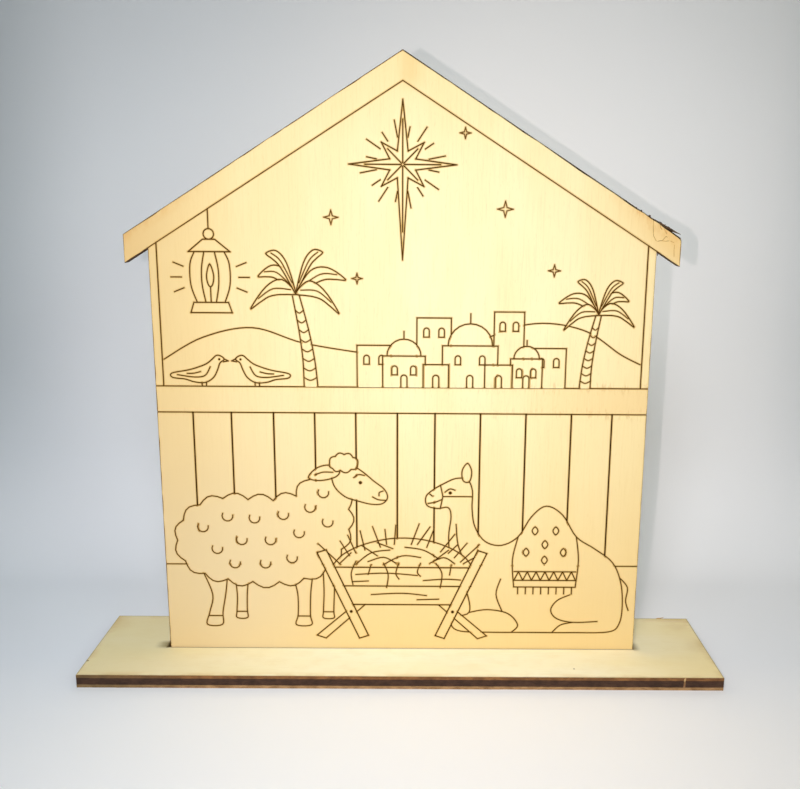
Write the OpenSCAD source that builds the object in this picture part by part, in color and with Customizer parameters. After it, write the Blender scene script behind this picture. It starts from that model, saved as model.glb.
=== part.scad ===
/* [Board] */
// Thickness of both plywood boards
board_t = 4; // [3:0.5:6]
// Thickness of the outer veneers of a board
face_t = 0.95; // [0.7:0.05:1.3]

/* [Base] */
// Width of the base board
base_w = 190; // [180:1:240]
// Depth of the base board from front to back
base_d = 38; // [26:1:70]

/* [Panel] */
// Width of the wall below the eaves
wall_w = 144; // [120:1:160]
// Height of the wall from the top of the base to the eaves
wall_h = 122.8; // [110:0.2:150]
// How far the roof stands out past the wall on each side
eave_over = 6.8; // [3:0.2:12]
// Thickness of the roof board, square to its slope
roof_t = 6.8; // [5:0.2:10]
// Slope of the roof in degrees
roof_angle = 32.3; // [26:0.1:40]

/* [Slot] */
// Gap between the panel and each long wall of the slot
slot_clear = 0.1; // [0.05:0.05:0.3]
// Free length of the slot past the left edge of the panel
slot_play = 1; // [0.5:0.1:4]

/* [Engraved wall] */
// Width of an engraved line
line_w = 0.4; // [0.3:0.05:0.6]
// Depth of an engraved line
line_depth = 0.3; // [0.1:0.05:0.5]
// Width of the corner posts
post_w = 2.4; // [1.5:0.1:5]
// Height of the top of the rail above the base
rail_top = 83; // [70:0.5:95]
// Height of the rail from its lower to its upper line
rail_h = 7.8; // [5:0.1:12]
// Height of the top of the foot board above the base
foot_board_h = 27.6; // [18:0.2:40]

/* [Engraved picture] */
// Length of the standing sheep from its rump to its chest
sheep_l = 58; // [44:1:62]
// Length of the kneeling camel
camel_l = 63; // [46:1:66]
// Width of the crib at its rim
crib_w = 47; // [34:1:52]
// Distance of the animals from the side edges of the wall
animal_inset = 4; // [2:0.5:8]
// Reach of the side rays of the star
star_r = 15; // [10:0.5:20]

/* [Hidden] */
// How far cuts run past the faces that they open
overrun = 1;
// Straight stretches between two points of a smooth curve, and along one bump of fleece
curve_steps = 3;
bump_steps = 3;
// Straight stretches of half a circle
arc_steps = 6;

core_t = board_t - 2 * face_t;
front_y = -board_t / 2;
slot_w = board_t + 2 * slot_clear;
slot_l = wall_w + slot_play + slot_clear;

slope = tan(roof_angle);
wall_half = wall_w / 2;
eave_half = wall_half + eave_over;
eave_z = board_t + wall_h;
roof_upright = roof_t / cos(roof_angle);
inner_apex_z = eave_z + slope * wall_half;
rail_z = board_t + rail_top;
rail_foot_z = rail_z - rail_h;
foot_board_z = board_t + foot_board_h;

// Places of the plank lines across the wall, as shares of its width
plank_shares = [-0.427, -0.349, -0.263, -0.179, -0.095, -0.01, 0.067, 0.16, 0.253, 0.346, 0.429];

// Where the animals and the crib stand, as shares of the height of the foot board
sheep_stand_share = 0.28;
camel_stand_share = 0.2;
crib_stand_share = 0.12;

// Height of the star between the rail and the peak of the inner roof line
star_height_share = 0.74;
// Sizes of the town, the palms and the lantern, in shares of the wall's width or of the height of its gable
town_w_share = 0.43;
palm_h_share = 0.47;
small_palm_share = 0.8;
lantern_h_share = 0.29;
// Places of the left edge of the town, the palms and the lantern across the wall, in shares of its width
town_x_share = -0.1;
palm_x_share = -0.185;
small_palm_x_share = 0.37;
lantern_x_share = -0.38;
// Height of the lantern with its chain, and height and radius of its ring, in shares of its own height
chain_share = 1.22;
ring_z_share = 0.94;
ring_r_share = 0.06;
// Reach of each ray from the right one round, and of the notches between them, in shares of star_r
ray_shares = [1, 0.56, 1.15, 0.56, 1, 0.56, 1.75, 0.56];
notch_share = 0.26;

// Fleece of the sheep, a point at each notch, in shares of sheep_l from its ground point, facing right
fleece_shares = [
    [-0.2, 0.26], [-0.07, 0.245], [0.07, 0.245], [0.2, 0.265], [0.32, 0.33], [0.4, 0.43], [0.44, 0.54],
    [0.44, 0.65], [0.42, 0.76], [0.34, 0.86], [0.24, 0.81], [0.17, 0.72], [0.05, 0.695], [-0.08, 0.7],
    [-0.21, 0.705], [-0.33, 0.67], [-0.42, 0.585], [-0.455, 0.475], [-0.42, 0.36], [-0.32, 0.29]
];
bump_share = 0.25;
// Head of the sheep
head_shares = [
    [0.36, 0.86], [0.43, 0.9], [0.505, 0.86], [0.57, 0.805], [0.625, 0.76], [0.642, 0.715],
    [0.615, 0.682], [0.56, 0.678], [0.49, 0.695], [0.42, 0.72], [0.365, 0.78]
];
// Near legs of the sheep
leg_shares = [
    [
        [0.14, 0.28], [0.165, 0.18], [0.165, 0.06], [0.155, 0],
        [0.235, 0], [0.23, 0.06], [0.235, 0.19], [0.25, 0.3]
    ],
    [
        [-0.33, 0.3], [-0.285, 0.17], [-0.305, 0.07], [-0.32, 0],
        [-0.24, 0], [-0.235, 0.07], [-0.215, 0.18], [-0.2, 0.3]
    ]
];

// Kneeling camel, in shares of camel_l from its ground point, facing left
camel_shares = [
    [-0.505, 0.7], [-0.47, 0.735], [-0.42, 0.765], [-0.365, 0.79], [-0.31, 0.785], [-0.285, 0.73],
    [-0.285, 0.64], [-0.27, 0.55], [-0.22, 0.475], [-0.14, 0.455], [-0.06, 0.5], [0, 0.6], [0.07, 0.655],
    [0.15, 0.61], [0.22, 0.5], [0.31, 0.44], [0.4, 0.37], [0.445, 0.27], [0.46, 0.15], [0.45, 0.05],
    [0.4, 0.005], [0.22, 0], [0, 0], [-0.2, 0], [-0.33, 0.005], [-0.375, 0.035], [-0.36, 0.08],
    [-0.29, 0.105], [-0.3, 0.2], [-0.345, 0.3], [-0.385, 0.4], [-0.395, 0.5], [-0.385, 0.6],
    [-0.4, 0.645], [-0.45, 0.64], [-0.5, 0.655]
];

// Town in shares of its width from its left corner on the rail: walls that show, place and radius of domes
town_shares = [
    [[0.02, 0], [0.02, 0.2], [0.178, 0.2]],
    [[0.14, 0], [0.14, 0.15], [0.34, 0.15], [0.34, 0.11]],
    [[0.3, 0.203], [0.3, 0.33], [0.46, 0.33], [0.46, 0.252]],
    [[0.33, 0], [0.33, 0.11], [0.45, 0.11], [0.45, 0]],
    [[0.42, 0.11], [0.42, 0.2], [0.68, 0.2], [0.68, 0.11]],
    [[0.66, 0.2], [0.66, 0.36], [0.8, 0.36], [0.8, 0.198]],
    [[0.62, 0], [0.62, 0.11], [0.75, 0.11], [0.75, 0]],
    [[0.74, 0.11], [0.74, 0.14], [0.89, 0.14], [0.89, 0]],
    [[0.848, 0.19], [1, 0.19], [1, 0]]
];
dome_shares = [[0.24, 0.15, 0.08], [0.55, 0.2, 0.104], [0.815, 0.14, 0.06]];

// Palm in shares of its height from its ground point: edges of the trunk, root of the fronds and their tips
trunk_shares = [
    [[-0.05, 0], [-0.03, 0.2], [0.01, 0.42], [0.07, 0.66]],
    [[0.05, 0], [0.055, 0.2], [0.08, 0.42], [0.12, 0.66]]
];
frond_root = [0.095, 0.68];
frond_rise = [0, 0.13];
// Outline of a frond: how far each point is along it and how far it rises
frond_steps = [[0, 0], [0.3, 1], [0.65, 0.9], [1, 0], [0.8, 0.15], [0.6, 0.3], [0.4, 0.25], [0.2, 0.1]];
frond_tips = [[0.36, 0.8], [0.42, 0.57], [0.3, 0.96], [-0.1, 0.97], [-0.26, 0.78], [-0.21, 0.54]];

// Hills behind the town in shares of wall_w from the middle of the rail
hill_shares = [
    [[-0.48, 0.055], [-0.4, 0.1], [-0.3, 0.12], [-0.2, 0.09], [-0.092, 0.071]],
    [[0.244, 0.129], [0.36, 0.12], [0.44, 0.07], [0.48, 0.05]]
];

// Lantern in shares of its height from its lowest point: lid, foot, one edge of the glass, and flame
lantern_cap_shares = [
    [[-0.07, 0.88], [0.07, 0.88], [0.24, 0.74], [-0.24, 0.74]],
    [[-0.2, 0.16], [0.2, 0.16], [0.24, 0.04], [-0.24, 0.04]]
];
glass_shares = [[0.17, 0.74], [0.225, 0.6], [0.225, 0.36], [0.16, 0.16]];
flame_shares = [[0, 0.6], [0.04, 0.48], [0.03, 0.38], [0, 0.34], [-0.03, 0.38], [-0.04, 0.48]];

// Crib in shares of crib_w from its ground point: trough, line between its boards, straw and crossed legs
trough_shares = [[-0.5, 0.5], [0.5, 0.5], [0.4, 0.24], [-0.4, 0.24]];
trough_line_shares = [[-0.44, 0.37], [0.44, 0.37]];
straw_heap_shares = [
    [-0.46, 0.5], [-0.38, 0.59], [-0.24, 0.66], [-0.06, 0.7],
    [0.12, 0.695], [0.28, 0.65], [0.4, 0.58], [0.46, 0.5]
];
near_leg_shares = [[-0.55, 0.6], [-0.49, 0.62], [-0.22, 0.02], [-0.28, 0]];
far_leg_shares = [[-0.24, 0.24], [-0.31, 0.24], [-0.56, 0.02], [-0.5, 0]];

// Height of the inner roof line at a place across the wall
function roof_z(x) = inner_apex_z - slope * abs(x);

// Points given in shares of a size, set out from a place, and mirrored where turn is -1
function set_out(points, place, size, turn = 1) =
    [for (p = points) [place.x + turn * size * p.x, place.y + size * p.y]];

// Point at t between the second and third of four points that a smooth curve runs through
function between(a, b, c, d, t) =
    (2 * b + (c - a) * t + (2 * a - 5 * b + 4 * c - d) * t * t + (3 * b - a - 3 * c + d) * t * t * t) / 2;

// Smooth open curve through a list of points
function curve(p) = [
    for (i = [0 : len(p) - 2])
        for (s = [0 : curve_steps - 1])
            between(p[max(i - 1, 0)], p[i], p[i + 1], p[min(i + 2, len(p) - 1)], s / curve_steps),
    p[len(p) - 1]
];

// Smooth closed curve through a list of points
function loop(p) = let (n = len(p)) [
    for (i = [0 : n - 1])
        for (s = [0 : curve_steps - 1])
            between(p[(i + n - 1) % n], p[i], p[(i + 1) % n], p[(i + 2) % n], s / curve_steps)
];

// Closed outline with one bump between each point and the next
function bumpy(p) = let (n = len(p)) [
    for (i = [0 : n - 1])
        for (s = [0 : bump_steps - 1])
            let (d = p[(i + 1) % n] - p[i], t = s / bump_steps)
                p[i] + d * t + bump_share * sin(180 * t) * [d.y, -d.x]
];

// Points of half a circle, or more, from the right round
function arc(place, r, to = 180) = let (n = ceil(arc_steps * to / 180)) [
    for (i = [0 : n]) let (a = to * i / n) place + r * [cos(a), sin(a)]
];

// Outline of one palm frond with its tip at a place, in the palm's shares
function frond(tip) = [
    for (step = frond_steps)
        frond_root + step[0] * (tip - frond_root) + step[1] * frond_rise
];

// Points moved sideways by half a line, with mitred corners no longer than twice that
function toward(a, b) = (b - a) / norm(b - a);
function square_to(u, v) = let (d = u + v, n = norm(d)) [-d.y, d.x] / (n * max(n / 2, 0.5));
function sideways(p, i, closed) = let (n = len(p)) square_to(
    toward(p[closed ? (i + n - 1) % n : max(i - 1, 0)], p[closed ? i : max(i, 1)]),
    toward(p[closed ? i : min(i, n - 2)], p[closed ? (i + 1) % n : min(i + 1, n - 1)])
);
function moved(p, by, closed) = [for (i = [0 : len(p) - 1]) p[i] + by * sideways(p, i, closed)];
function turned(p) = [for (i = [len(p) - 1 : -1 : 0]) p[i]];

// An engraved line along open points
module stroke(p) {
    polygon(concat(moved(p, line_w / 2, false), turned(moved(p, -line_w / 2, false))));
}

// An engraved line round closed points
module outline(p) {
    n = len(p);
    polygon(
        concat(moved(p, line_w / 2, true), moved(p, -line_w / 2, true)),
        [[for (i = [0 : n - 1]) i], [for (i = [0 : n - 1]) n + i]]
    );
}

sheep_place = [
    animal_inset - wall_half - fleece_shares[17].x * sheep_l,
    board_t + sheep_stand_share * foot_board_h
];
camel_place = [
    wall_half - animal_inset - camel_shares[18].x * camel_l,
    board_t + camel_stand_share * foot_board_h
];
crib_place = [0, board_t + crib_stand_share * foot_board_h];
gable_h = inner_apex_z - rail_z;
star_place = [0, rail_z + star_height_share * gable_h];
town_w = town_w_share * wall_w;
town_place = [town_x_share * wall_w, rail_z];
palm_h = palm_h_share * gable_h;
palm_place = [palm_x_share * wall_w, rail_z];
small_palm_place = [small_palm_x_share * wall_w, rail_z];
lantern_h = lantern_h_share * gable_h;
lantern_x = lantern_x_share * wall_w;
lantern_place = [lantern_x, roof_z(lantern_x) - chain_share * lantern_h];

fleece = bumpy(set_out(fleece_shares, sheep_place, sheep_l));
head = loop(set_out(head_shares, sheep_place, sheep_l));
camel = loop(set_out(camel_shares, camel_place, camel_l));
star = [
    for (i = [0 : 7])
        for (half = [0, 1])
            let (a = 45 * (i + half / 2), r = star_r * (half == 0 ? ray_shares[i] : notch_share))
                star_place + r * [cos(a), sin(a)]
];

// Roof board, posts and the upper line of the rail
module upper_wall_lines() {
    out = wall_half + overrun;
    post_x = wall_half - post_w;
    stroke([[-out, roof_z(out)], [0, inner_apex_z], [out, roof_z(out)]]);
    for (side = [-1, 1])
        stroke([[side * post_x, rail_z], [side * post_x, roof_z(post_x)]]);
    stroke([[-out, rail_z], [out, rail_z]]);
}

// Lower line of the rail, foot board and planks
module lower_wall_lines() {
    out = wall_half + overrun;
    for (z = [rail_foot_z, foot_board_z])
        stroke([[-out, z], [out, z]]);
    for (share = plank_shares)
        stroke([[share * wall_w, foot_board_z], [share * wall_w, rail_foot_z]]);
}

module animals_area() {
    polygon(fleece);
    polygon(head);
    polygon(camel);
}

module animal_lines() {
    difference() {
        outline(fleece);
        polygon(head);
    }
    outline(head);
    outline(camel);
    difference() {
        for (leg = leg_shares)
            stroke(curve(set_out(leg, sheep_place, sheep_l)));
        polygon(fleece);
    }
}

module crib_area() {
    polygon(set_out(trough_shares, crib_place, crib_w));
    polygon(curve(set_out(straw_heap_shares, crib_place, crib_w)));
    crib_legs_area();
}

module crib_legs_area() {
    for (side = [-1, 1])
        polygon(set_out(near_leg_shares, crib_place, crib_w, side));
}

module crib_lines() {
    difference() {
        union() {
            outline(set_out(trough_shares, crib_place, crib_w));
            stroke(set_out(trough_line_shares, crib_place, crib_w));
            stroke(curve(set_out(straw_heap_shares, crib_place, crib_w)));
            for (side = [-1, 1])
                outline(set_out(far_leg_shares, crib_place, crib_w, side));
        }
        crib_legs_area();
    }
    for (side = [-1, 1])
        outline(set_out(near_leg_shares, crib_place, crib_w, side));
}

module palm_area(place, size, turn) {
    polygon(set_out(concat(trunk_shares[0], turned(trunk_shares[1])), place, size, turn));
    for (tip = frond_tips)
        polygon(set_out(frond(tip), place, size, turn));
}

// Trunk and fronds, each frond hidden where the ones after it lie over it
module palm_lines(place, size, turn) {
    last = len(frond_tips) - 1;
    for (edge = trunk_shares)
        stroke(set_out(edge, place, size, turn));
    for (i = [0 : last])
        difference() {
            outline(set_out(frond(frond_tips[i]), place, size, turn));
            for (k = [i + 1 : 1 : last])
                polygon(set_out(frond(frond_tips[k]), place, size, turn));
        }
}

module palms() {
    palm_lines(palm_place, palm_h, -1);
    palm_lines(small_palm_place, small_palm_share * palm_h, 1);
}

module palms_area() {
    palm_area(palm_place, palm_h, -1);
    palm_area(small_palm_place, small_palm_share * palm_h, 1);
}

module hill_lines() {
    difference() {
        for (hill = hill_shares)
            stroke(curve(set_out(hill, [0, rail_z], wall_w)));
        palms_area();
    }
}

module town_lines() {
    for (walls = town_shares)
        stroke(set_out(walls, town_place, town_w));
    for (dome = dome_shares)
        stroke(arc(town_place + town_w * [dome[0], dome[1]], town_w * dome[2]));
}

module lantern_lines() {
    for (cap = lantern_cap_shares)
        outline(set_out(cap, lantern_place, lantern_h));
    for (side = [-1, 1])
        stroke(set_out(glass_shares, lantern_place, lantern_h, side));
    outline(set_out(flame_shares, lantern_place, lantern_h));
    outline(arc(lantern_place + [0, ring_z_share * lantern_h], ring_r_share * lantern_h, 324));
    stroke([lantern_place + [0, lantern_h], [lantern_x, roof_z(lantern_x)]]);
}

// All engraved lines, seen from the front
module engraving() {
    upper_wall_lines();
    outline(star);
    hill_lines();
    town_lines();
    palms();
    lantern_lines();
    difference() {
        lower_wall_lines();
        animals_area();
        crib_area();
    }
    difference() {
        animal_lines();
        crib_area();
    }
    crib_lines();
}

// Outline of the stable, seen from the front
module panel_outline() {
    polygon([
        [-wall_half, 0],
        [-wall_half, eave_z],
        [-eave_half, roof_z(eave_half)],
        [-eave_half, roof_z(eave_half) + roof_upright],
        [0, inner_apex_z + roof_upright],
        [eave_half, roof_z(eave_half) + roof_upright],
        [eave_half, roof_z(eave_half)],
        [wall_half, eave_z],
        [wall_half, 0]
    ]);
}

// A flat shape stood upright, with its front at y and its thickness behind that
module upright(y, thickness) {
    translate([0, y + thickness, 0])
        rotate([90, 0, 0])
            linear_extrude(thickness)
                children();
}

// One veneer of the base, with its share of the slot that the panel stands in
module base_ply(z, thickness) {
    difference() {
        translate([-base_w / 2, -base_d / 2, z])
            cube([base_w, base_d, thickness]);
        translate([-wall_half - slot_play, -slot_w / 2, z - overrun])
            cube([slot_l, slot_w, thickness + 2 * overrun]);
    }
}

module base_bottom_ply() {
    color("#8c6a40")
        base_ply(0, face_t);
}

module base_core_ply() {
    color("#43302a")
        base_ply(face_t, core_t);
}

module base_top_ply() {
    color("#efe3ae")
        base_ply(board_t - face_t, face_t);
}

module panel_back_ply() {
    color("#ecd8a4")
        upright(front_y + face_t + core_t, face_t) panel_outline();
}

module panel_core_ply() {
    color("#43302a")
        upright(front_y + face_t, core_t) panel_outline();
}

module panel_front_ply() {
    color("#f6e2ae")
        difference() {
            upright(front_y, face_t) panel_outline();
            upright(front_y - overrun, line_depth + overrun) engraving();
        }
}

base_bottom_ply();
base_core_ply();
base_top_ply();
panel_back_ply();
panel_core_ply();
panel_front_ply();
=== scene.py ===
"""Looks of the wooden nativity stable: its veneers, burnt lines and wear, and the paper and lamps round it.

Sizes are in millimetres, as in the part's source, and turned to metres where a mesh is made.
"""

import math

import bmesh
import bpy
import numpy as np
from mathutils import Matrix, Vector, noise
from mathutils.geometry import delaunay_2d_cdt


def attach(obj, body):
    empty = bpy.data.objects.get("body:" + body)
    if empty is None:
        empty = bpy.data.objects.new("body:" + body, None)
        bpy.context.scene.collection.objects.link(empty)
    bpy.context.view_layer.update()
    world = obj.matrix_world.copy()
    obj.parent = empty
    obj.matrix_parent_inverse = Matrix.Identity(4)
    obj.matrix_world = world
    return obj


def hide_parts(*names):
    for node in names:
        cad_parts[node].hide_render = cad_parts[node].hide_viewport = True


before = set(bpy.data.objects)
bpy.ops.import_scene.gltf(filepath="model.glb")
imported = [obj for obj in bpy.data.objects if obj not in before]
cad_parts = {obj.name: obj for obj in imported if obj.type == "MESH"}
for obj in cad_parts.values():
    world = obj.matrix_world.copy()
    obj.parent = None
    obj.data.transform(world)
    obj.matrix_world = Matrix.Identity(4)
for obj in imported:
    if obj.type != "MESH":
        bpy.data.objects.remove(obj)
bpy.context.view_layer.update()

MM = 0.001

# Boards
BOARD_T, FACE_T = 4.0, 0.95
BASE_W, BASE_D = 190.0, 38.0
WALL_W, WALL_H = 144.0, 122.8
EAVE_OVER, ROOF_T, ROOF_ANGLE = 6.8, 6.8, 32.3
SLOT_CLEAR, SLOT_PLAY = 0.1, 1.0

FRONT_Y = -BOARD_T / 2
SLOPE = math.tan(math.radians(ROOF_ANGLE))
LEAN = math.cos(math.radians(ROOF_ANGLE))
WALL_HALF = WALL_W / 2
EAVE_HALF = WALL_HALF + EAVE_OVER
EAVE_Z = BOARD_T + WALL_H
PEAK_Z = EAVE_Z + SLOPE * WALL_HALF
ROOF_TOP_Z = PEAK_Z + ROOF_T / LEAN

# Depth and width of the burnt lines, and how dark each kind is burnt, from 0 to 1
LINE_DEPTH, ARRIS_DEPTH, CRACK_DEPTH = 0.3, 0.1, 0.12
LINE_W, ROOF_LINE_W, POST_LINE_W, RAIL_LINE_W, PLANK_LINE_W, CRACK_W = 0.32, 0.3, 0.35, 0.31, 0.4, 0.14
LINE_BURN, ROOF_BURN, POST_BURN, PLANK_BURN, CRACK_BURN = 0.86, 0.72, 0.85, 1, 0.5
DOT_BURN, DEEP_BURN, FAINT_BURN = 0.9, 0.95, 0.7

# Reach of the browning beside a line and beside a crack, the rim along the cut edge, and how uneven it is
HALO, CRACK_HALO = 0.32, 0.08
RIM_W, RIM_BURN = 0.6, 0.55
EDGE_WOBBLE, EDGE_WAVES = 0.9, 0.45

# A line runs this share of its width past its ends, and is broken at bends sharper than this, in radians
END_SHARE, SHARP_BEND = 0.45, 0.7

# Parts of the wall that the lines draw
POST_W = 2.4
RAIL_Z = BOARD_T + 83.0
RAIL_FOOT_Z = RAIL_Z - 7.8
FOOT_BOARD_H = 27.6
FOOT_BOARD_Z = BOARD_T + FOOT_BOARD_H
PLANK_SHARES = [-0.427, -0.349, -0.263, -0.179, -0.095, -0.01, 0.067, 0.16, 0.253, 0.346, 0.429]

# Sizes in the picture
VIEW_H = PEAK_Z - RAIL_Z
SHEEP_L, CAMEL_L, CRIB_W, ANIMAL_INSET = 58.0, 63.0, 47.0, 4.0
TOWN_W, PALM_H, LANTERN_H, DOVE_L, STAR_R = 0.43 * WALL_W, 0.47 * VIEW_H, 0.29 * VIEW_H, 16.0, 15.0


# Shapes drawn flat on the wall, as (x, z) in mm

def roof_z(x):
    """Height of the roof board's lower edge."""
    return PEAK_Z - SLOPE * abs(x)


def between(a, b, c, d, t):
    """Point on a smooth curve through four, a share t of the way from the second to the third."""
    return (2 * b + (c - a) * t + (2 * a - 5 * b + 4 * c - d) * t * t + (3 * b - a - 3 * c + d) * t ** 3) / 2


def smooth(p, steps):
    """Smooth curve from the second to the last but one of some points."""
    return [between(*p[i:i + 4], s / steps) for i in range(len(p) - 3) for s in range(steps)]


def curve(p, steps=5):
    """Smooth open curve through points."""
    return smooth([p[0], *p, p[-1]], steps) + [p[-1]]


def loop(p, steps=5):
    """Smooth closed curve through points."""
    return smooth([p[-1], *p, p[0], p[1]], steps)


def bumpy(p, rise, steps=5):
    """Closed outline with one round bump between each point and the next."""
    made = []
    for i, a in enumerate(p):
        d = p[(i + 1) % len(p)] - a
        for s in range(steps):
            t = s / steps
            made.append(a + d * t + rise * math.sin(math.pi * t) * Vector((d.y, -d.x)))
    return made


def arc(place, r, start, stop, steps=12):
    """Points along an arc, from one angle to another in degrees."""
    angles = [math.radians(start + (stop - start) * i / steps) for i in range(steps + 1)]
    return [Vector((place[0] + r * math.cos(a), place[1] + r * math.sin(a))) for a in angles]


def turning(p):
    """Twice the area of an outline, below zero where it runs clockwise."""
    return sum(a.x * b.y - b.x * a.y for a, b in zip(p, p[1:] + p[:1]))


def sideways(p, i, closed):
    """Unit step square to a line at one of its points, longer at a bend so that the line keeps its width."""
    last = len(p) - 1
    before = p[i - 1] if closed or i else p[0]
    after = p[(i + 1) % len(p)] if closed or i < last else p[last]
    u, v = p[i] - before, after - p[i]
    u, v = (u if u.length else v).normalized(), (v if v.length else u).normalized()
    d = u + v
    return Vector((-d.y, d.x)) / (d.length * max(d.length / 2, 0.5))


class Drawing:
    """Shapes and burnt lines in painter's order: a shape hides what was drawn before it."""

    def __init__(self, board):
        self.points, self.numbers = [], {}
        self.faces = []
        self.burns = []
        self.layer = 0
        self.board = board
        self.add(board, "board")

    def number(self, p):
        """Number of a point, the same for every shape that meets there."""
        key = (round(p[0], 4), round(p[1], 4))
        if key not in self.numbers:
            self.numbers[key] = len(self.points)
            self.points.append(Vector(key))
        return self.numbers[key]

    def add(self, shape, kind, burn=None):
        """One flat face of the drawing, kept only if it is a real area."""
        corners = []
        for p in shape:
            n = self.number(p)
            if n not in corners:
                corners.append(n)
        if len(corners) < 3:
            return
        area = turning([self.points[n] for n in corners])
        if abs(area) < 1e-5:
            return
        self.faces.append((corners if area > 0 else corners[::-1], kind, self.layer, burn))

    def shape(self, *outlines):
        """Hides what was drawn before under one or more outlines."""
        self.layer += 1
        for outline in outlines:
            self.add(outline, "shape")

    def form(self, outline, **how):
        """A shape with a burnt line all round it."""
        self.shape(outline)
        self.line(outline, True, **how)

    def mark(self, a, b, half, reach, strength):
        """The heat that a stretch of burning leaves round it, and its number."""
        self.burns.append((a.x, a.y, b.x, b.y, half, reach, strength))
        return len(self.burns) - 1

    def line(self, points, closed=False, width=LINE_W, strength=LINE_BURN, kind="line"):
        """A burnt line, broken at its sharp corners so that each straight run is its own cut."""
        p = [Vector(q) for q in points]
        n = len(p)
        inner = range(n) if closed else range(1, n - 1)
        sharp = [i for i in inner if (p[i] - p[i - 1]).angle(p[(i + 1) % n] - p[i], 0) > SHARP_BEND]
        if closed and not sharp:
            self.strip(p, True, width, strength, kind)
            return
        if closed:
            p = p[sharp[0]:] + p[:sharp[0]] + [p[sharp[0]]]
            sharp = [(i - sharp[0]) for i in sharp[1:]]
        ends = [0] + sharp + [len(p) - 1]
        for a, b in zip(ends, ends[1:]):
            if b > a:
                self.strip(p[a:b + 1], False, width, strength, kind)

    def strip(self, p, closed, width, strength, kind):
        """One smooth run of a burnt line with its scorched borders."""
        if not closed:
            first, last = (p[0] - p[1]).normalized(), (p[-1] - p[-2]).normalized()
            p = [p[0] + first * END_SHARE * width] + p[1:-1] + [p[-1] + last * END_SHARE * width]
        half, reach = width / 2, HALO if kind == "line" else CRACK_HALO
        sides = [sideways(p, i, closed) for i in range(len(p))]
        edges = [[q + s * k for q, s in zip(p, sides)] for k in (-half - reach, -half, half, half + reach)]
        for i in range(len(p) if closed else len(p) - 1):
            j = (i + 1) % len(p)
            burn = self.mark(p[i], p[j], half, reach, strength)
            for low, high, part in ((0, 1, "halo"), (1, 2, kind), (2, 3, "halo")):
                quad = [edges[low][i], edges[low][j], edges[high][j], edges[high][i]]
                bends = [(quad[k] - quad[k - 1]).cross(quad[(k + 1) % 4] - quad[k]) for k in range(4)]
                if min(bends) * max(bends) > 0:
                    self.add(quad, part, burn)
        if not closed:
            for i, out, burn in ((0, first, len(self.burns) - len(p) + 1), (-1, last, len(self.burns) - 1)):
                rim = [edge[i] for edge in edges]
                self.add(rim + [rim[3] + out * reach, rim[0] + out * reach], "halo", burn)

    def dot(self, place, r):
        """A round burnt spot."""
        place = Vector(place)
        burn = self.mark(place, place, r, HALO, DOT_BURN)
        for radius, part in ((r + HALO, "halo"), (r, "line")):
            self.add(arc(place, radius, 0, 330, 11), part, burn)

    def edge_band(self, kind, widths, strengths):
        """Uneven band just inside the cut edge of the board, its width and strength given for each side."""
        p, n = self.board, len(self.board)
        inner = []
        for i in range(n):
            wobble = 1 + EDGE_WOBBLE * noise.noise(Vector((EDGE_WAVES * p[i].x, EDGE_WAVES * p[i].y, 7.0)))
            a, b = widths[i - 1], widths[i]
            width = max(a, b) if 0 in (a, b) else (a + b) / 2
            inner.append(p[i] + sideways(p, i, True) * width * wobble)
        for i in range(n):
            if strengths[i]:
                j = (i + 1) % n
                burn = self.mark(p[i], p[j], 0, widths[i], strengths[i])
                self.add([p[i], p[j], inner[j], inner[i]], kind, burn)

    def cut(self):
        """The board's points, triangles as (corners, part, strength, warmed), and the burns that show."""
        outlines = [face[0] for face in self.faces]
        points, _, triangles, _, _, covers = delaunay_2d_cdt(self.points, [], outlines, 0, 1e-4)
        kept, live = [], set()
        for corners, cover in zip(triangles, covers):
            found = [self.faces[c][1:] for c in cover]
            if not any(kind == "board" for kind, _, _ in found):
                continue
            top = max([layer for kind, layer, _ in found if kind == "shape"], default=0)
            seen = [
                (kind, burn) for kind, layer, burn in found
                if burn is not None and (layer >= top or kind in ("rim", "arris"))
            ]
            kinds = {kind for kind, _ in seen}
            part = next((k for k in ("line", "crack", "arris", "rim", "halo") if k in kinds), "face")
            live.update(burn for kind, burn in seen if kind in ("line", "crack", "rim"))
            strength = max([self.burns[burn][6] for kind, burn in seen if kind == part], default=0)
            kept.append((list(corners), part, strength, bool(kinds)))
        return points, kept, np.array([self.burns[b] for b in sorted(live)])


def heat(points, burns, batch=400):
    """How scorched each point is by the burnt lines near it, from 0 to 1, worked out a batch at a time."""
    made = np.zeros(len(points))
    a, d = burns[:, 0:2], burns[:, 2:4] - burns[:, 0:2]
    length = np.maximum((d * d).sum(1), 1e-9)
    half, reach, strength = burns[:, 4], burns[:, 5], burns[:, 6]
    for start in range(0, len(points), batch):
        off = points[start:start + batch, None, :] - a
        t = np.clip((off * d).sum(2) / length, 0, 1)
        gap = np.sqrt(((off - t[:, :, None] * d) ** 2).sum(2)) - half
        made[start:start + batch] = (strength * np.clip(1 - gap / reach, 0, 1)).max(1)
    return made


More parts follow.
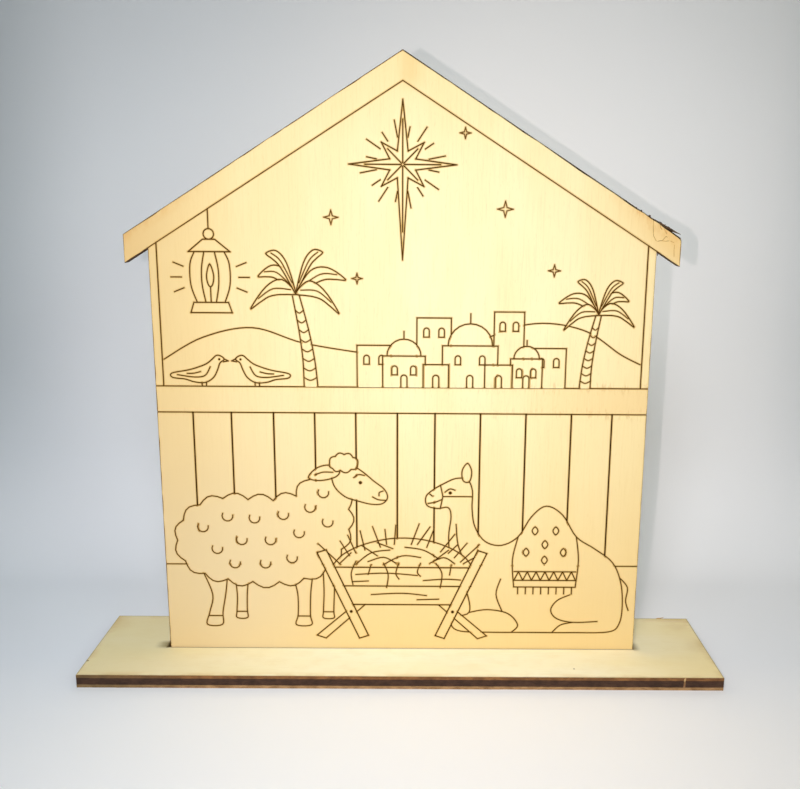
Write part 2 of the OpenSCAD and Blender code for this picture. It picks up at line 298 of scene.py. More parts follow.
class Motif:
    """One figure of the picture. Its points are in hundredths of its size, and turn -1 mirrors it."""

    def __init__(self, drawing, place, size, turn=1):
        self.drawing, self.place, self.size, self.turn = drawing, place, size, turn

    def out(self, points):
        """Where points of the figure lie on the wall."""
        x0, z0 = self.place
        width = self.turn * self.size
        return [Vector((x0 + width * (x / 100), z0 + self.size * (z / 100))) for x, z in points]

    def lines(self, *rows, **how):
        """Straight burnt lines through the points of each row."""
        for row in rows:
            self.drawing.line(self.out(row), **how)

    def curves(self, *rows, **how):
        """Smooth burnt lines through the points of each row."""
        for row in rows:
            self.drawing.line(curve(self.out(row)), **how)

    def loops(self, *rows):
        """Rounded forms, each with a burnt line all round it."""
        for row in rows:
            self.drawing.form(loop(self.out(row)))

    def dot(self, point, r):
        """A burnt spot of radius r in mm."""
        self.drawing.dot(self.out([point])[0], r)


# Motifs of the picture, in hundredths of each one's size

FLEECE = [
    (-20, 26), (-7, 24.5), (7, 24.5), (20, 26.5), (32, 33), (40, 43), (44, 54), (44, 65), (42, 76),
    (34, 86), (24, 81), (17, 72), (5, 69.5), (-8, 70), (-21, 70.5), (-33, 67), (-42, 58.5), (-45.5, 47.5),
    (-42, 36), (-32, 29),
]
SHEEP_FACE = [
    (36, 86), (43, 90), (50.5, 86), (57, 80.5), (62.5, 76), (64.2, 71.5), (61.5, 68.2), (56, 67.8),
    (49, 69.5), (42, 72), (36.5, 78),
]
SHEEP_EAR = [(39.5, 86.2), (34, 88.8), (27.5, 87), (23.5, 82), (29.5, 80.5), (37.5, 82.5)]
SHEEP_TUFT = [
    (34.5, 90), (37.5, 93.5), (42, 94.5), (46.5, 93), (49, 89.5), (45.5, 86.5), (40, 86), (36, 87),
]
FAR_LEGS = [
    [(30, 36), (30.5, 20), (30, 8), (30, 4), (35.5, 4), (35.5, 8), (36, 20), (37, 40)],
    [(-17, 34), (-15.5, 18), (-16, 8), (-16, 4), (-10.5, 4), (-10.5, 9), (-10, 20), (-8, 34)],
]
NEAR_LEGS = [
    [(14, 28), (16.5, 18), (16.5, 6), (15.5, 0), (23.5, 0), (23, 6), (23.5, 19), (25, 30)],
    [(-33, 30), (-28.5, 17), (-30.5, 7), (-32, 0), (-24, 0), (-23.5, 7), (-21.5, 18), (-20, 30)],
]
FAR_HOOVES = [[(30, 7.5), (35.5, 7.5)], [(-16, 7.5), (-10.5, 7.5)]]
NEAR_HOOVES = [[(16.5, 5), (23, 5)], [(-30.6, 5), (-23.8, 5)]]
CURLS = [
    (-32, 55), (-19, 61), (-5, 60), (10, 62), (24, 66), (33, 58), (-25, 43), (-12, 48), (3, 48), (18, 52),
    (-16, 35), (0, 35), (14, 38), (31, 74),
]
SHEEP_FEATURES = [
    [(46.8, 82.2), (49.2, 83.8), (52.2, 83.4)], [(61.8, 75), (60, 74.2), (59.8, 72.5)],
    [(63.5, 70), (59.5, 70.3), (56.5, 71.8)],
]


def draw_sheep(drawing, place, size):
    sheep = Motif(drawing, place, size)
    for legs, hooves in ((FAR_LEGS, FAR_HOOVES), (NEAR_LEGS, NEAR_HOOVES)):
        for leg, hoof in zip(legs, hooves):
            side = curve(sheep.out(leg))
            drawing.shape(side)
            drawing.line(side)
            sheep.lines(hoof)
    drawing.form(bumpy(sheep.out(FLEECE), 0.25))
    for curl in sheep.out(CURLS):
        drawing.line(arc(curl, 0.028 * size, 150, 370, 8))
    sheep.loops(SHEEP_FACE)
    sheep.dot((50.2, 79.5), 0.5)
    sheep.curves(*SHEEP_FEATURES)
    sheep.loops(SHEEP_EAR)
    sheep.curves([(36, 85), (31, 85), (26.8, 83.5)])
    drawing.form(bumpy(sheep.out(SHEEP_TUFT)[::-1], 0.28))


CAMEL = [
    (-50.5, 70), (-47, 73.5), (-42, 76.5), (-36.5, 79), (-31, 78.5), (-28.5, 73), (-28.5, 64), (-27, 55),
    (-22, 47.5), (-14, 45.5), (-6, 50), (0, 60), (7, 65.5), (15, 61), (22, 50), (31, 44), (40, 37),
    (44.5, 27), (46, 15), (45, 5), (40, 0.5), (22, 0), (0, 0), (-20, 0), (-33, 0.5), (-37.5, 3.5), (-36, 8),
    (-29, 10.5), (-30, 20), (-34.5, 30), (-38.5, 40), (-39.5, 50), (-38.5, 60), (-40, 64.5), (-45, 64),
    (-50, 65.5),
]
CAMEL_FOLDS = [
    [(-29, 10.5), (-20, 12), (-10, 10), (-5, 4), (-8, 0)], [(-13, 11.5), (-16, 20), (-14, 28)],
    [(20, 20), (14, 17), (11, 12), (14, 7.5), (22, 5.5), (34, 6)], [(12, 0), (16, 4), (22, 5.5)],
    [(-49.5, 66.5), (-46, 67.2), (-43, 68.5)], [(-48.7, 71.2), (-47.5, 70.2)],
    [(-41.5, 72.2), (-39.2, 73.8), (-36.8, 73.2)], [(-36, 56), (-35, 46), (-32, 38)],
]
CAMEL_TAIL = [(44, 29), (48, 24), (47.5, 17), (49, 12)]
CAMEL_EAR = [(-33, 78), (-33.5, 83), (-31, 86.5), (-29, 82.5), (-30, 77.5)]
BRIDLE = [[(-43.7, 75.7), (-42.5, 70), (-43.7, 64)], [(-42.5, 70), (-36, 70), (-28.5, 70)]]


def draw_camel(drawing, place, size):
    camel = Motif(drawing, place, size)
    camel.curves(CAMEL_TAIL)
    camel.loops(CAMEL, CAMEL_EAR)
    camel.curves(*CAMEL_FOLDS)
    camel.lines(*BRIDLE)
    camel.dot((-39, 71.8), 0.48)
    draw_saddle_cloth(camel)


def draw_saddle_cloth(camel):
    """Sides, seams, fringe, zigzag and lozenges of the cloth on the camel's hump."""
    camel.curves([(-6, 50), (-8.5, 38), (-7.5, 24)], [(22, 50), (23.5, 38), (22.5, 24)])
    camel.lines(*[[(-7.5, z), (22.5, z)] for z in (24, 27.5, 32)])
    fringe = [-5.5 + 3.75 * i for i in range(8)]
    camel.lines(*[[(x, 24), (x, 20.5)] for x in fringe])
    teeth, step = [-7.5 + 30 * i / 7 for i in range(7)], 30 / 7
    camel.lines(*[[(x, 27.5), (x + step / 2, 32), (x + step, 27.5)] for x in teeth])
    for x, z in ((-2, 42), (7, 46), (16, 42), (2, 53), (12, 53), (7, 38)):
        camel.drawing.line(loop(camel.out([(x, z + 2), (x - 1.4, z), (x, z - 2), (x + 1.4, z)]), 3), True)


TROUGH = [(-47, 50), (47, 50), (36, 24), (-36, 24)]
STRAW_HEAP = [(-46, 50), (-38, 59), (-24, 66), (-6, 70), (12, 69.5), (28, 65), (40, 58), (46, 50)]
NEAR_LEG = [(-55, 60), (-49, 62), (-22, 2), (-28, 0)]
FAR_LEG = [(-24, 24), (-31, 24), (-56, 2), (-50, 0)]
TROUGH_GRAIN = [
    [(-30, 45), (-10, 46), (10, 44.5)], [(14, 41), (28, 42), (38, 41.5)], [(-20, 31), (0, 32), (16, 30.5)],
    [(10, 27.5), (24, 28)], [(-32, 40), (-22, 40.5)],
]
STRAWS = [
    [(-40, 52), (-48, 60), (-54, 66)], [(-34, 58), (-40, 68)], [(-30, 60), (-35, 72)],
    [(-24, 62), (-27, 75)], [(-14, 64), (-19, 78)], [(-10, 66), (-11, 76)], [(-5, 66), (-4, 79)],
    [(6, 66), (11, 80)], [(10, 66), (18, 78)], [(16, 64), (20, 75)], [(25, 61), (34, 73)],
    [(30, 60), (36, 66)], [(34, 57), (42, 67)], [(40, 53), (52, 60)], [(38, 54), (50, 66)],
    [(-30, 52), (-20, 60), (-8, 62)], [(-12, 52), (0, 58), (12, 57)], [(2, 64), (14, 62), (24, 56)],
    [(-22, 54), (-12, 57), (-4, 53)], [(18, 53), (27, 57), (34, 53)], [(-40, 53), (-33, 60)],
    [(-16, 67), (-6, 63)], [(-26, 65), (-16, 58)], [(30, 62), (20, 54)],
]
HANGING_STRAWS = [
    [(-30, 54), (-33, 46), (-32, 38)], [(-12, 53), (-9, 45), (-10, 36)], [(-2, 53), (-4, 46), (-2, 42)],
    [(22, 53), (26, 46), (25, 36)], [(12, 53), (10, 47), (12, 44)], [(-20, 52), (-22, 45)],
    [(32, 52), (31, 45)],
]


def draw_crib(drawing, place, size):
    crib, mirrored = (Motif(drawing, place, size, turn) for turn in (1, -1))
    for side in (crib, mirrored):
        drawing.form(side.out(FAR_LEG))
    heap = curve(crib.out(STRAW_HEAP))
    drawing.shape(heap, crib.out(TROUGH))
    crib.curves(*STRAWS)
    drawing.line(heap)
    crib.lines(TROUGH, closed=True, strength=DEEP_BURN)
    crib.lines([(-45, 37), (45, 37)], strength=DEEP_BURN)
    crib.curves(*TROUGH_GRAIN, *HANGING_STRAWS)
    for side in (crib, mirrored):
        drawing.form(side.out(NEAR_LEG), strength=DEEP_BURN)
        side.dot((-33.3, 19), 0.45)


# Length of each of the star's rays in shares of its size, the first to the right and the seventh down
RAYS = [1, 0.56, 1.15, 0.56, 1, 0.56, 1.75, 0.56]


def star_corners(place, reaches):
    """Corners of a star, spread evenly round its middle, each at its own reach."""
    turns = [2 * math.pi * i / len(reaches) for i in range(len(reaches))]
    return [Vector(place) + r * Vector((math.cos(a), math.sin(a))) for a, r in zip(turns, reaches)]


def draw_star(drawing, place, size):
    """A rayed star: its outline, a line down the middle of each ray, and a beam on each side of it."""
    drawing.form(star_corners(place, [size * r for ray in RAYS for r in (ray, 0.26)]))
    roots = star_corners(place, [size * 0.03] * 8)
    tips = star_corners(place, [size * 0.7 * ray for ray in RAYS])
    inner = star_corners(place, [size * 0.5] * 32)[1::2]
    outer = star_corners(place, [size * r for r in (0.8, 0.8, 0.68, 0.68)] * 8)[1::2]
    for line in [*zip(roots, tips), *zip(inner, outer)]:
        drawing.line(line)


def draw_small_star(drawing, place, r):
    drawing.line(star_corners(place, [r, 0.3 * r] * 4), True, strength=FAINT_BURN)


# Left edge, width and height of each building in shares of the town's width, and whether it has a dome
BUILDINGS = [
    (0.02, 0.16, 0.2, False), (0.3, 0.16, 0.33, False), (0.66, 0.14, 0.36, False), (0.84, 0.16, 0.19, False),
    (0.14, 0.2, 0.15, True), (0.42, 0.26, 0.2, True), (0.74, 0.15, 0.14, True), (0.33, 0.12, 0.11, False),
    (0.62, 0.13, 0.11, False),
]


def draw_town(drawing, place, size):
    foot = place[1]
    for left, width, height, domed in BUILDINGS:
        low = height < 0.12
        x0, x1 = place[0] + left * size, place[0] + (left + width) * size
        roof = foot + height * size
        middle, r = (x0 + x1) / 2, 0.4 * width * size
        walls = [Vector((x0, foot)), Vector((x1, foot)), Vector((x1, roof)), Vector((x0, roof))]
        dome = arc((middle, roof), r, 0, 180)
        drawing.shape(*([walls, dome] if domed else [walls]))
        if domed:
            drawing.line(dome)
            drawing.line([(middle, roof + r), (middle, roof + 1.45 * r)])
        drawing.line([walls[0], walls[3], walls[2], walls[1]])
        if domed or low:
            arch = arc((middle, foot + 0.045 * size), 0.9, 0, 180, 8)
            drawing.line([(middle + 0.9, foot), *arch, (middle - 0.9, foot)])
        for share in (0.28, 0.72) if width > 0.12 and not low else ():
            x, top, half = x0 + share * (x1 - x0), roof - 0.06 * size, 0.013 * size
            sill = top - 0.03 * size
            drawing.line([(x + half, sill), *arc((x, top), half, 0, 180, 6), (x - half, sill)], True)


TRUNK = [[(-5, 0), (-3, 20), (1, 42), (7, 66)], [(5, 0), (5.5, 20), (8, 42), (12, 66)]]
FROND_TIPS = [(36, 80), (42, 57), (30, 96), (-10, 97), (-26, 78), (-21, 54)]


def frond(tip):
    """Leaf and vein of a palm, from the top of its trunk out to a tip, all in hundredths."""
    root, tip, up = (Vector((x / 100, z / 100)) for x, z in ((9.5, 68), tip, (0, 13)))
    d = tip - root

    def along(*shares):
        return [root + out * d + rise * up for out, rise in shares]

    under = along((0.8, 0.15), (0.6, 0.3), (0.4, 0.25), (0.2, 0.1))
    leaf = along((0, 0), (0.3, 1), (0.65, 0.9)) + [tip] + under
    vein = along((0.12, 0.3), (0.5, 0.66), (0.82, 0.4))
    return [[(100 * p.x, 100 * p.y) for p in row] for row in (leaf, vein)]


def draw_palm(drawing, place, size, turn):
    palm = Motif(drawing, place, size, turn)
    sides = [curve(palm.out(side)) for side in TRUNK]
    drawing.shape(sides[0] + sides[1][::-1])
    for side in sides:
        drawing.line(side)
    for i in range(1, 9):
        z = place[1] + 0.07 * size * i
        x0, x1 = (float(np.interp(z, [p.y for p in side], [p.x for p in side])) for side in sides)
        ring = [Vector((x0, z)), Vector(((x0 + x1) / 2, z - 0.022 * size)), Vector((x1, z))]
        drawing.line(curve(ring), strength=FAINT_BURN)
    for tip in FROND_TIPS:
        leaf, vein = frond(tip)
        palm.loops(leaf)
        palm.curves(vein, strength=FAINT_BURN)


CAP_AND_FOOT = [[(-7, 88), (7, 88), (24, 74), (-24, 74)], [(-20, 16), (20, 16), (24, 4), (-24, 4)]]
FLAME = [(0, 60), (4, 48), (3, 38), (0, 34), (-3, 38), (-4, 48)]


def draw_lantern(drawing, place, size):
    """Lantern that hangs from the roof board by its ring."""
    lantern, mirrored = (Motif(drawing, place, size, turn) for turn in (1, -1))
    lantern.lines(*CAP_AND_FOOT, closed=True)
    for side in (lantern, mirrored):
        side.curves([(17, 74), (22.5, 60), (22.5, 36), (16, 16)], [(6, 74), (9.5, 55), (9.5, 36), (6, 16)])
        for angle in (-22, 0, 22):
            a = math.radians(angle)
            side.lines([(r * math.cos(a), 45 + r * math.sin(a)) for r in (33, 45)])
    drawing.line(loop(lantern.out(FLAME)), True)
    lantern.lines([(0, 33), (0, 16)])
    x, z = place
    drawing.line(arc((x, z + 0.94 * size), 0.06 * size, 0, 345, 14), True)
    drawing.line([(x, z + size), (x, roof_z(x))])


DOVE = [
    (46, 50), (40, 56), (32, 57), (24, 50), (14, 42), (0, 36), (-20, 30), (-50, 24), (-49, 16), (-26, 13),
    (-10, 8), (10, 7), (25, 16), (33, 30), (38, 43),
]


def draw_dove(drawing, place, size, turn):
    dove = Motif(drawing, place, size, turn)
    dove.lines([(4, 8), (4, 0)], [(12, 8), (12, 0)])
    dove.loops(DOVE)
    dove.lines([(45.5, 51), (53, 47), (44.5, 45.5)])
    dove.curves([(20, 36), (10, 20), (-10, 17), (-40, 21)], [(2, 27), (-10, 24), (-22, 23.5)])
    dove.dot((37, 50), 0.3)


def draw_wall(drawing):
    """Roof board, posts, rail, planks and foot board of the stable."""
    out = WALL_HALF + 1
    roof = [(-out, roof_z(out)), (0, PEAK_Z), (out, roof_z(out))]
    drawing.line(roof, width=ROOF_LINE_W, strength=ROOF_BURN)
    for side in (-1, 1):
        x = side * (WALL_HALF - POST_W)
        drawing.line([(x, RAIL_Z), (x, roof_z(x))], width=POST_LINE_W, strength=POST_BURN)
    for z in (RAIL_Z, RAIL_FOOT_Z, FOOT_BOARD_Z):
        drawing.line([(-out, z), (out, z)], width=RAIL_LINE_W)
    for share in PLANK_SHARES:
        x = share * WALL_W
        drawing.line([(x, FOOT_BOARD_Z), (x, RAIL_FOOT_Z)], width=PLANK_LINE_W, strength=PLANK_BURN)


# In hundredths of the wall's width, and the small stars' heights in shares of the height over the rail
HILLS = [
    [(-48, 5.5), (-40, 10), (-30, 12), (-20, 9), (-8, 7)], [(12, 8), (25, 13), (36, 12), (44, 7), (48, 5)],
]
SMALL_STARS = [(-14, 0.57, 2.0), (20, 0.6, 2.2), (30, 0.4, 1.7), (-9, 0.37, 1.5), (12, 0.84, 1.5)]


def draw_view(drawing):
    """What stands behind and on the rail: hills, town, palms, doves, lantern and stars."""
    rail = Motif(drawing, (0, RAIL_Z), WALL_W)
    for hill in HILLS:
        drawing.line(curve(rail.out(hill), 8))
    draw_town(drawing, (-0.1 * WALL_W, RAIL_Z), TOWN_W)
    draw_palm(drawing, (-0.185 * WALL_W, RAIL_Z), PALM_H, -1)
    draw_palm(drawing, (0.37 * WALL_W, RAIL_Z), 0.8 * PALM_H, 1)
    for share, turn in ((-0.41, 1), (-0.285, -1)):
        draw_dove(drawing, (share * WALL_W, RAIL_Z), DOVE_L, turn)
    lantern_x = -0.38 * WALL_W
    draw_lantern(drawing, (lantern_x, roof_z(lantern_x) - 1.22 * LANTERN_H), LANTERN_H)
    draw_star(drawing, (0, RAIL_Z + 0.74 * VIEW_H), STAR_R)
    for x, z, r in SMALL_STARS:
        draw_small_star(drawing, (x / 100 * WALL_W, RAIL_Z + z * VIEW_H), r)


def draw_eave_cracks(drawing):
    """Hairline cracks in the veneer at the knocked right end of the roof."""
    cracks = [
        [(70.53, 135.34), (70.59, 133.24), (70.81, 131.12), (71.20, 130.45), (71.65, 129.71)],
        [(72.07, 129.63), (72.92, 129.81), (74.30, 129.64), (75.25, 129.78)],
        [(73.33, 129.81), (73.80, 130.36), (74.31, 130.99), (74.73, 130.81)],
        [(75.71, 129.74), (76.18, 129.47), (76.65, 129.34)],
        [(73.76, 133.09), (74.08, 132.42), (74.48, 131.75)],
        [(76.9, 128.6), (76.83, 127.2), (76.95, 125.4)], [(72.5, 134.3), (72.62, 133.5), (73.05, 132.9)],
    ]
    for crack in cracks:
        drawing.line(crack, width=CRACK_W, strength=CRACK_BURN, kind="crack")


# Corners of the front veneer, and how wide and how dark the charred arris is from each one to the next
KNOCKED = [(78.8, 0.85), (78.62, 0.45), (78.2, 0.22), (77.3, 0.1), (75.8, 0.04), (74.0, 0.02)]
OUTLINE = [
    ((-WALL_HALF, 0), 0, 0), ((WALL_HALF, 0), 0.14, 0.55), ((WALL_HALF, EAVE_Z), 0.1, 1),
    ((EAVE_HALF, roof_z(EAVE_HALF)), 0.16, 0.62),
    *[((x, ROOF_TOP_Z - SLOPE * x - drop), 0.34, 1) for x, drop in KNOCKED],
    ((70.0, ROOF_TOP_Z - SLOPE * 70), 0.34, 1), ((40.0, ROOF_TOP_Z - SLOPE * 40), 0.3, 1),
    ((0, ROOF_TOP_Z), 0.22, 0.8), ((-EAVE_HALF, ROOF_TOP_Z - SLOPE * EAVE_HALF), 0.18, 0.7),
    ((-EAVE_HALF, roof_z(EAVE_HALF)), 0.12, 1), ((-WALL_HALF, EAVE_Z), 0.2, 0.66),
]


def wall_board():
    """Outline of the front veneer in short stretches, with the width and strength of the arris on each."""
    points, widths, strengths = [], [], []
    for i, (corner, width, strength) in enumerate(OUTLINE):
        a, b = Vector(corner), Vector(OUTLINE[(i + 1) % len(OUTLINE)][0])
        steps = max(1, round((b - a).length / 2.6)) if strength else 1
        points += [a + (b - a) * s / steps for s in range(steps)]
        widths += [width] * steps
        strengths += [strength] * steps
    return points, widths, strengths


def front_picture():
    """The whole engraving, the foot of each animal and of the crib on the foot board."""
    points, widths, strengths = wall_board()
    drawing = Drawing(points)
    drawing.edge_band("arris", widths, strengths)
    drawing.edge_band("rim", [RIM_W] * len(points), [RIM_BURN * s for s in strengths])
    draw_wall(drawing)
    draw_view(drawing)
    sheep_x = ANIMAL_INSET - WALL_HALF - min(x for x, _ in FLEECE) / 100 * SHEEP_L
    camel_x = WALL_HALF - ANIMAL_INSET - max(x for x, _ in CAMEL) / 100 * CAMEL_L
    draw_sheep(drawing, (sheep_x, BOARD_T + 0.28 * FOOT_BOARD_H), SHEEP_L)
    draw_camel(drawing, (camel_x, BOARD_T + 0.2 * FOOT_BOARD_H), CAMEL_L)
    draw_crib(drawing, (0, BOARD_T + 0.12 * FOOT_BOARD_H), CRIB_W)
    draw_eave_cracks(drawing)
    return drawing


# Meshes

# Materials of the carved veneer, by their number in its mesh
PLAIN, BURNT, CRACKED, CUT = range(4)
SINKS = {"line": (LINE_DEPTH, BURNT), "arris": (ARRIS_DEPTH, BURNT), "crack": (CRACK_DEPTH, CRACKED)}
# Side of the square that the veneer's layout fills, its margin, and where its small back lies
SHEET, MARGIN, BACK_SCALE, BACK_U = 186.0, 2, 0.1, 166


def put(name, data):
    """Puts a mesh, lamp or camera in the scene."""
    thing = bpy.data.objects.new(name, data)
    bpy.context.scene.collection.objects.link(thing)
    return thing


def make_object(name, vertices, faces, materials):
    mesh = bpy.data.meshes.new(name)
    mesh.from_pydata([Vector(v) * MM for v in vertices], [], faces)
    for material in materials:
        mesh.materials.append(material)
    return put(name, mesh)


def carved_veneer(name, drawing, materials):
    """Solid veneer with every burnt line sunk into its face."""
    points, triangles, burns = drawing.cut()
    vertices, known, faces, shades, scorch = [], {}, [], [], []

    def corner(point, y):
        key = (point, round(y, 3))
        if key not in known:
            known[key] = len(vertices)
            vertices.append((points[point].x, FRONT_Y + y, points[point].y))
        return known[key]

    def add(face, shade, values):
        faces.append(face)
        shades.append(shade)
        scorch.extend(values)

    warmth = heat(np.array([tuple(p) for p in points]), burns)
    owner, levels = {}, {}
    for t, (corners, part, _, _) in enumerate(triangles):
        for k in range(3):
            owner[corners[k], corners[(k + 1) % 3]] = t
            levels.setdefault(corners[k], set()).add(SINKS.get(part, (0, PLAIN))[0])

    for corners, part, strength, warm in triangles:
        y, shade = SINKS.get(part, (0, PLAIN))
        values = [strength] * 3 if y else [warmth[p] if warm else 0 for p in corners]
        add([corner(p, y) for p in corners], shade, values)

    edge_after = {}
    for (a, b), t in owner.items():
        here = SINKS.get(triangles[t][1], (0, PLAIN))[0]
        if (b, a) in owner:
            _, part, strength, _ = triangles[owner[b, a]]
            there, shade = SINKS.get(part, (0, PLAIN))
            if here < there:
                step = [corner(a, here), corner(a, there), corner(b, there), corner(b, here)]
                add(step, shade, [strength] * 4)
        else:
            edge_after[a] = b
            down = [corner(a, y) for y in sorted(levels[a]) if y >= here] + [corner(a, FACE_T)]
            back = [corner(b, FACE_T)] + [corner(b, y) for y in sorted(levels[b], reverse=True) if y >= here]
            add(down + back, CUT, [1] * (len(down) + len(back)))

    start = next(iter(edge_after))
    ring = [start]
    while edge_after[ring[-1]] != start:
        ring.append(edge_after[ring[-1]])
    add([corner(p, FACE_T) for p in reversed(ring)], CUT, [1] * len(ring))

    veneer = make_object(name, vertices, faces, materials)
    veneer.data.polygons.foreach_set("material_index", shades)
    veneer.data.attributes.new("scorch", "FLOAT", "CORNER").data.foreach_set("value", scorch)
    lay_out(veneer.data, len(ring))
    return veneer


def lay_out(mesh, back_corners):
    """Flat layout of the veneer: the face as it is seen, its cut edge folded out, and its back small."""
    layout = mesh.uv_layers.new(name="OFBake")
    places = np.zeros((len(mesh.loops), 2))
    for polygon in mesh.polygons:
        for k in polygon.loop_indices:
            x, y, z = mesh.vertices[mesh.loops[k].vertex_index].co / MM
            sunk = y - FRONT_Y
            out = 1 if x > 0 else -1
            u, v = x + EAVE_HALF + MARGIN, z + MARGIN
            if polygon.material_index == CUT:
                u, v = u + 0.9 * out * sunk, v + 0.5 * sunk * (1 if z > 100 else -1)
            else:
                u, v = u + 0.2 * sunk, v - 0.1 * sunk
            if polygon.loop_total == back_corners:
                u, v = BACK_U + BACK_SCALE * (x + EAVE_HALF), MARGIN + BACK_SCALE * z
            places[k] = (u / SHEET, v / SHEET)
    layout.data.foreach_set("uv", places.ravel())


def torn_bits(name, bits, material, sides=8):
    """Torn fibres or beads of char, each with its depth y and its rings of (x, z, height, thickness)."""
    work = bmesh.new()
    for y, rings in bits:
        fine = curve([Vector(ring) for ring in rings], 4)
        rows = []
        for i, ring in enumerate(fine):
            before, after = fine[max(i - 1, 0)], fine[min(i + 1, len(fine) - 1)]
            along = Vector((after.x - before.x, after.y - before.y)).normalized()
            row = []
            for k in range(sides):
                a = 2 * math.pi * k / sides
                rough = 1 + 0.7 * noise.noise(Vector((1.7 * ring.x, 1.7 * ring.y, 0.9 * k + y)))
                up, out = 0.5 * ring[2] * rough * math.sin(a), 0.5 * ring[3] * rough * math.cos(a)
                at = Vector((ring.x - along.y * up, y + out, ring.y + along.x * up))
                row.append(work.verts.new(at * MM))
            rows.append(row)
        for a, b in zip(rows, rows[1:]):
            for k in range(sides):
                work.faces.new((a[k], a[k - 1], b[k - 1], b[k]))
        work.faces.new(rows[0])
        work.faces.new(rows[-1][::-1])
    bmesh.ops.recalc_face_normals(work, faces=work.faces)
    for face in work.faces:
        face.smooth = True
    mesh = bpy.data.meshes.new(name)
    work.to_mesh(mesh)
    work.free()
    mesh.materials.append(material)
    return put(name, mesh)


# Finishes

def colour(text):
    """Linear colour from its usual six-digit name."""
    parts = [int(text[i:i + 2], 16) / 255 for i in (1, 3, 5)]
    return (*[c / 12.92 if c <= 0.04045 else ((c + 0.055) / 1.055) ** 2.4 for c in parts], 1)


def both_ways(operation):
    """An operator on values and its reflected form, which puts the other number first."""
    return (lambda a, b: a.sum(operation, a, b)), (lambda a, b: a.sum(operation, b, a))


class Value:
    """A number that changes over a surface. Sums on it add the nodes that work it out."""

    def __init__(self, finish, socket):
        self.finish, self.socket = finish, socket

    def sum(self, operation, *values):
        return self.finish.number("ShaderNodeMath", {"operation": operation}, dict(enumerate(values)))

    __add__, __radd__ = both_ways("ADD")
    __sub__, __rsub__ = both_ways("SUBTRACT")
    __mul__, __rmul__ = both_ways("MULTIPLY")
    __truediv__, __rtruediv__ = both_ways("DIVIDE")
    __pow__, __rpow__ = both_ways("POWER")
    at_least = both_ways("MAXIMUM")[0]
    at_most = both_ways("MINIMUM")[0]

    def __abs__(self):
        return self.sum("ABSOLUTE", self)

    def rise(self, low, high):
        """0 below low and 1 above high, or the other way round where high is the smaller."""
        values = {0: self, 1: low, 2: high, 3: 0.0, 4: 1.0}
        return self.finish.number("ShaderNodeMapRange", {"interpolation_type": "SMOOTHSTEP"}, values)


class NodeMaker:
    """Nodes of a material or of the world."""

    def __init__(self, tree, output):
        self.tree = tree
        self.output = tree.nodes[output]

    def node(self, kind, settings=None, values=None):
        """Any node: its type, its settings, then what feeds its sockets."""
        node = self.tree.nodes.new(kind)
        for name, value in (settings or {}).items():
            setattr(node, name, value)
        for name, value in (values or {}).items():
            self.feed(node.inputs[name], value)
        return node

    def feed(self, socket, value):
        """Gives a socket its link, or its number or colour, which may be a six-digit name."""
        if isinstance(value, Value):
            self.tree.links.new(value.socket, socket)
        elif isinstance(value, bpy.types.NodeSocket):
            self.tree.links.new(value, socket)
        else:
            socket.default_value = colour(value) if isinstance(value, str) else value

    def number(self, kind, settings=None, values=None, output=0):
        """One output of a new node, as a value to work with."""
        return Value(self, self.node(kind, settings, values).outputs[output])

    def seen(self):
        """1 to the camera, also through glass and in a shine, and 0 to the light that falls on things."""
        rays = self.node("ShaderNodeLightPath").outputs
        seen = Value(self, rays["Is Camera Ray"])
        return seen.at_least(rays["Is Glossy Ray"]).at_least(rays["Is Transmission Ray"])

    def show(self, shader):
        """Puts a shader on the surface."""
        self.tree.links.new(shader.outputs[0], self.output.inputs["Surface"])


class Finish(NodeMaker):
    """Material of one surface, and its shade so far."""

    def __init__(self, name):
        self.material = bpy.data.materials.new(name)
        self.material.use_nodes = True
        super().__init__(self.material.node_tree, "Material Output")
        self.shader = self.tree.nodes["Principled BSDF"]
        self.x, self.y, self.z = self.split(self.node("ShaderNodeTexCoord").outputs["Object"])
        self.shade = None

    def split(self, vector):
        parts = self.node("ShaderNodeSeparateXYZ", None, {0: vector})
        return [Value(self, out) for out in parts.outputs]

    def facing(self, axis):
        """1 where the surface faces along an axis or against it, and 0 elsewhere: 0 is x, 1 is y, 2 is z."""
        normal = self.split(self.node("ShaderNodeNewGeometry").outputs["True Normal"])
        return abs(normal[axis]).rise(0.4, 0.6)

    def grain(self, size, stretch=(1, 1, 1), detail=2.0, rough=0.5, seed=0.0):
        """Noise from 0 to 1 whose lumps are about size millimetres, drawn out along an axis by stretch."""
        x, y, z = (at * (1 / (size * MM * s)) for at, s in zip((self.x, self.y, self.z), stretch))
        at = self.node("ShaderNodeCombineXYZ", None, {0: x + seed, 1: y, 2: z})
        values = {"Vector": at.outputs[0], "Scale": 1.0, "Detail": detail, "Roughness": rough}
        return self.number("ShaderNodeTexNoise", None, values)

    def mix(self, share, a, b):
        """Colour a, and b as far as share goes."""
        return self.node("ShaderNodeMix", {"data_type": "RGBA"}, {0: share, 6: a, 7: b}).outputs[2]

    def tint(self, tone, share):
        """Lays a tone over the shade, as far as share goes."""
        self.shade = self.mix(share, self.shade, tone)

    def done(self, roughness, height=None, depth=0.05, strength=0.5, shine=0.25):
        """Gives the shader the shade, and the height as a bump that is depth millimetres deep."""
        self.feed(self.shader.inputs["Base Color"], self.shade)
        self.feed(self.shader.inputs["Roughness"], roughness)
        self.shader.inputs["Specular IOR Level"].default_value = shine
        if height is not None:
            values = {"Strength": strength, "Distance": depth * MM, "Height": height}
            bump = self.node("ShaderNodeBump", None, values)
            self.feed(self.shader.inputs["Normal"], bump.outputs[0])
        return self.material


